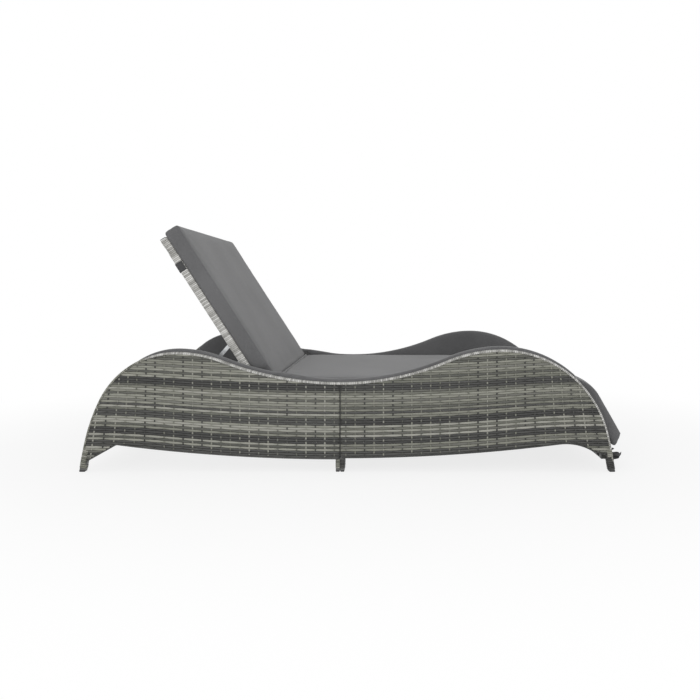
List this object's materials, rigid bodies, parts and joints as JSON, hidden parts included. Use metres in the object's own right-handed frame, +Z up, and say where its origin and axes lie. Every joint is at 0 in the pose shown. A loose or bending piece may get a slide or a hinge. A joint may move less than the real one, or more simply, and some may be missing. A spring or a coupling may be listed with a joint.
{
  "type": "double chaise lounger",
  "caption": "Low double sun lounger with wave-shaped woven side panels, padded inner sides, a full-width mattress that hangs over the foot end and a propped reclining backrest.",
  "frame": {"origin": "on the floor, under the middle of the lounger's length and width with the backrest raised", "axes": "+X towards the foot end, +Y towards the far side as a person lying back has it on their left, +Z up"},
  "size_m": [2.0164, 1.3, 0.92],
  "materials": {
    "frame_paint": "matt dark grey powder coat on steel tube",
    "backrest_paint": "satin pale grey powder coat on steel tube",
    "prop_metal": "satin light grey flat bar and rod",
    "bare_steel": "zinc plated steel",
    "woven_strand": "satin flat plastic strands, woven in light and dark grey bands",
    "pad_fabric": "dark grey canvas over soft filling",
    "webbing": "flat grey tape",
    "dark_plastic": "matt dark moulded plastic"
  },
  "bodies": {
    "base": {"near_head_side_frame": "frame_paint", "far_head_side_frame": "frame_paint", "near_foot_side_frame": "frame_paint", "far_foot_side_frame": "frame_paint", "head_middle_legs": "frame_paint", "foot_middle_legs": "frame_paint", "head_low_rail": "frame_paint", "head_rest_rail": "frame_paint", "rack_rail_head": "frame_paint", "rack_rail_fold": "frame_paint", "hinge_rail": "frame_paint", "head_seam_rail": "frame_paint", "foot_seam_rail": "frame_paint", "head_seam_low_rail": "frame_paint", "foot_seam_low_rail": "frame_paint", "seat_rail": "frame_paint", "thigh_rail": "frame_paint", "knee_rail": "frame_paint", "foot_end_rail": "frame_paint", "near_rack": "frame_paint", "far_rack": "frame_paint", "near_head_side_weave": "woven_strand", "far_head_side_weave": "woven_strand", "near_foot_side_weave": "woven_strand", "far_foot_side_weave": "woven_strand", "head_deck": "woven_strand", "foot_deck": "woven_strand", "head_apron": "woven_strand", "near_side_pad": "pad_fabric", "far_side_pad": "pad_fabric", "seat_mattress": "pad_fabric", "near_foot_tie": "webbing", "far_foot_tie": "webbing", "end_glides": "dark_plastic", "middle_glides": "dark_plastic", "near_hinge_pin": "bare_steel", "far_hinge_pin": "bare_steel", "hinge_spacers": "dark_plastic", "seam_bolts": "bare_steel", "seam_nuts": "bare_steel"},
    "backrest": {"near_backrest_rail": "backrest_paint", "far_backrest_rail": "backrest_paint", "backrest_hinge_rail": "backrest_paint", "backrest_prop_rail": "backrest_paint", "backrest_mid_rail": "backrest_paint", "backrest_head_rail": "backrest_paint", "backrest_weave": "woven_strand", "near_hinge_lug": "backrest_paint", "far_hinge_lug": "backrest_paint", "hinge_bushes": "dark_plastic", "near_prop_clevis": "backrest_paint", "far_prop_clevis": "backrest_paint", "prop_rivets": "bare_steel", "backrest_caps": "dark_plastic", "back_mattress": "pad_fabric", "backrest_strap": "webbing"},
    "prop": {"near_prop_arm": "prop_metal", "far_prop_arm": "prop_metal", "prop_rod": "prop_metal"}
  },
  "joints": [
    {"name": "backrest_recline", "type": "hinge", "parent": "base", "child": "backrest", "pos_m": [-0.288, 0, 0.338], "axis": [0, -1, 0], "range_deg": [0, 57]},
    {"name": "prop_fold", "type": "hinge", "parent": "backrest", "child": "prop", "pos_m": [-0.4677, 0, 0.47646], "axis": [0, -1, 0], "range_deg": [-103.7, 0]}
  ],
  "couplings": [
    {"joint": "prop_fold", "follows": "backrest_recline", "ratio": -1.8186}
  ]
}
